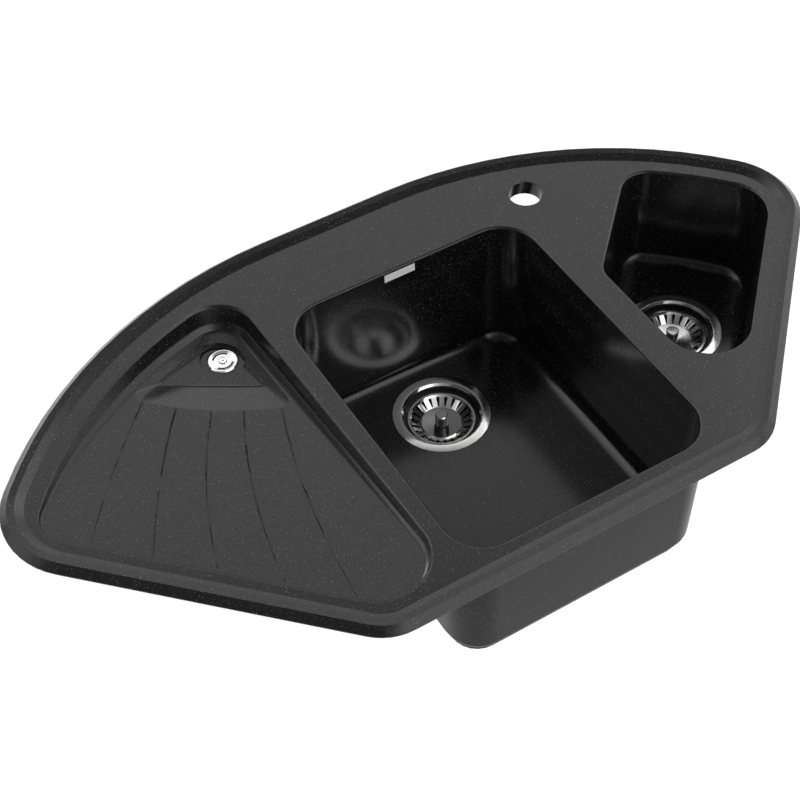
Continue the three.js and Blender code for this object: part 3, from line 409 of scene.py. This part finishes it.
def hose_route():
    """Points along the hose's middle line, the bend as one smooth curve."""
    turn = Vector((math.cos(HOSE_TURN), math.sin(HOSE_TURN), 0))
    inlet = HOSE_DRAIN + HOSE_REACH * turn
    bend_end = inlet + HOSE_END * turn
    bend_start = Vector((HOSE_TOP.x, HOSE_TOP.y, HOSE_LEVEL + HOSE_FALL))
    low = Vector((HOSE_TOP.x, HOSE_TOP.y, HOSE_LEVEL + HOSE_DIP))
    controls = (bend_start, low, bend_end + HOSE_FALL * turn, bend_end)
    bend = []
    for step in range(HOSE_BEND_STEPS + 1):
        t = step / HOSE_BEND_STEPS
        weights = ((1 - t) ** 3, 3 * t * (1 - t) ** 2, 3 * t * t * (1 - t), t**3)
        bend.append(sum((w * c for w, c in zip(weights, controls)), Vector()))
    return [HOSE_TOP, *bend, inlet]


def even_steps(points, count):
    """count + 1 points along a line of points, evenly apart, with the direction at each."""
    lengths = [(b - a).length for a, b in zip(points, points[1:])]
    total = sum(lengths)
    place_now = 0
    done = 0.0
    found = []
    for step in range(count + 1):
        want = total * step / count
        while place_now < len(lengths) - 1 and done + lengths[place_now] < want:
            done += lengths[place_now]
            place_now += 1
        first, second = points[place_now], points[place_now + 1]
        share = min(1.0, (want - done) / lengths[place_now])
        found.append((first.lerp(second, share), (second - first).normalized()))
    return found


def ribbed_hose():
    """The overflow hose: a thin ribbed tube, closed at its two ends round its bore."""
    count = HOSE_RIBS * HOSE_RINGS
    places = even_steps(hose_route(), count)
    side = Vector((1, 0, 0))
    rings = []
    for step, (middle, along) in enumerate(places):
        side = (side - side.dot(along) * along).normalized()
        other = along.cross(side)
        wave = (1 + math.cos(2 * math.pi * step / HOSE_RINGS)) / 2
        outer = HOSE_ROOT + (HOSE_OUTER - HOSE_ROOT) * wave**0.7
        rings.append((middle, side, other, outer, outer - HOSE_WALL))
    points, faces = [], []
    for inner in (False, True):
        for middle, side_now, other, outer, bore in rings:
            radius = bore if inner else outer
            for k in range(HOSE_SIDES):
                turn = 2 * math.pi * k / HOSE_SIDES
                points.append(middle + radius * (math.cos(turn) * side_now + math.sin(turn) * other))
    offset = (count + 1) * HOSE_SIDES
    last = count * HOSE_SIDES
    for k in range(HOSE_SIDES):
        after = (k + 1) % HOSE_SIDES
        for row in range(count):
            a, b = row * HOSE_SIDES, (row + 1) * HOSE_SIDES
            faces.append((a + k, a + after, b + after, b + k))
            faces.append((offset + a + k, offset + b + k, offset + b + after, offset + a + after))
        faces.append((k, offset + k, offset + after, after))
        faces.append((last + k, last + after, offset + last + after, offset + last + k))
    mesh = bpy.data.meshes.new("overflow_hose_ribbed")
    mesh.from_pydata(points, [], faces)
    mesh.shade_smooth()
    made = bpy.data.objects.new("overflow_hose_ribbed", mesh)
    bpy.context.collection.objects.link(made)
    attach(made, "sink")
    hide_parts("overflow_hose")
    return made


paint(["sink_body"], composite(), angle=32, level_angle=7)
for side in ("main", "small"):
    low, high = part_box(f"{side}_knob")
    centre = (low + high) / 2
    bright = steel(f"{side}_polished_steel", STEEL, centre)
    paint([f"{side}_{n}" for n in ("basket", "stem", "bolt")], bright, angle=35)
    # The knob is painted dark below its top: painted shade and a painted dark reflection on its side.
    shaded_knob = steel(f"{side}_knob_painted_shade", STEEL, centre, high.z - KNOB_SHADE_DEPTH)
    paint([f"{side}_knob"], shaded_knob, angle=35)
    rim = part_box(f"{side}_flange")[1].z
    # The flange is painted dark below its lip: painted shade in the gap down to the basket.
    shaded_flange = steel(f"{side}_steel_painted_shade_below_lip", STEEL, centre, rim - FLANGE_SHADE_DEPTH)
    paint([f"{side}_flange"], shaded_flange, angle=35)
low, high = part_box("overflow_rosette")
# The rosette is painted dark below its face: painted shade in the ring round it and in its slots, and
# a painted dark reflection on its side.
chrome = steel("rosette_steel_painted_shade", CHROME, (low + high) / 2, high.z - ROSETTE_SHADE_DEPTH)
paint(["overflow_rosette", "overflow_screw"], chrome, angle=35)
seals = [f"{side}_{n}" for side in ("main", "small") for n in ("top_gasket", "under_gasket", "seal")]
paint(seals + ["overflow_gasket"], rubber())
white = plastic("white_drain_plastic", 0.72, 0.01, 0.38)
paint(["main_drain_body", "small_drain_body", "overflow_cup"], white)
ribbed_hose().data.materials.append(plastic("grey_hose_plastic", 0.6, 0.0, 0.42))
paint(["blank_badge"], foil())


# --------------------------------------------------------- floor, light, view


def floor():
    """A plain pale floor that shows white to the camera and still takes the sink's shadow."""
    half = FLOOR_SIZE / 2
    mesh = bpy.data.meshes.new("floor")
    corners = [(-half, -half, 0), (half, -half, 0), (half, half, 0), (-half, half, 0)]
    mesh.from_pydata(corners, [], [(0, 1, 2, 3)])
    made = bpy.data.objects.new("floor", mesh)
    made.location = FLOOR_MIDDLE
    bpy.context.collection.objects.link(made)
    look, tree, shader = new_material("pale_floor")
    shader.inputs["Roughness"].default_value = 0.9
    shader.inputs["Specular IOR Level"].default_value = 0.1
    tone = mix(tree, noise(tree, 3, 2), grey(0.86), grey(0.88))
    tree.links.new(tone, shader.inputs["Base Color"])
    path = add(tree, "LightPath").outputs
    seen = maths(tree, "MAXIMUM", path["Is Camera Ray"], path["Is Glossy Ray"])
    seen = maths(tree, "MAXIMUM", seen, path["Is Transmission Ray"])
    glow = add(tree, "Emission", {"Strength": maths(tree, "MULTIPLY", seen, FLOOR_LIFT)})
    both = add(tree, "AddShader", {0: shader.outputs[0], 1: glow.outputs[0]})
    tree.links.new(both.outputs[0], tree.nodes["Material Output"].inputs["Surface"])
    mesh.materials.append(look)


def studio():
    """A soft white tent round the sink: dim above and where the camera stands, with screens."""
    made = bpy.data.worlds.new("studio")
    made.use_nodes = True
    bpy.context.scene.world = made
    tree = made.node_tree
    towards = add(tree, "TexCoord").outputs["Generated"]
    rise = add(tree, "SeparateXYZ", {"Vector": towards}).outputs["Z"]
    roof = remap(tree, rise, *ROOF)
    skirt = maths(tree, "MAXIMUM", remap(tree, rise, *SKIRT), remap(tree, rise, *HORIZON))
    level = maths(tree, "MULTIPLY", roof, skirt)

    def facing(direction):
        found = add(tree, "VectorMath", {0: towards, 1: direction}, operation="DOT_PRODUCT")
        return found.outputs["Value"]

    for direction, edge, full, more in SCREENS:
        level = maths(tree, "ADD", level, remap(tree, facing(direction), edge, full, 0.0, more))
    level = maths(tree, "MULTIPLY", level, remap(tree, facing(DIM_SIDE), *DIM))
    tree.nodes["Background"].inputs["Color"].default_value = grey(1.0)
    tree.links.new(level, tree.nodes["Background"].inputs["Strength"])


def camera():
    """The camera at the view that the part is matched to."""
    turn, rise = math.radians(CAMERA["azimuth"]), math.radians(CAMERA["elevation"])
    tilt = math.radians(CAMERA["roll"])
    back = Vector((math.sin(turn) * math.cos(rise), -math.cos(turn) * math.cos(rise), math.sin(rise)))
    level = (-back).cross(Vector((0, 0, 1))).normalized()
    steep = back.cross(level)
    right = math.cos(tilt) * level + math.sin(tilt) * steep
    up = -math.sin(tilt) * level + math.cos(tilt) * steep
    data = bpy.data.cameras.new("camera")
    data.sensor_width = 36
    data.lens = CAMERA["lens"]
    data.shift_x, data.shift_y = CAMERA["shift"]
    data.clip_start = 0.05
    made = bpy.data.objects.new("camera", data)
    axes = Matrix((right, up, back)).transposed().to_4x4()
    made.matrix_world = Matrix.Translation(CAMERA["place"]) @ axes
    bpy.context.collection.objects.link(made)
    bpy.context.scene.camera = made


floor()
studio()
camera()
bpy.context.scene.view_settings.view_transform = "Standard"
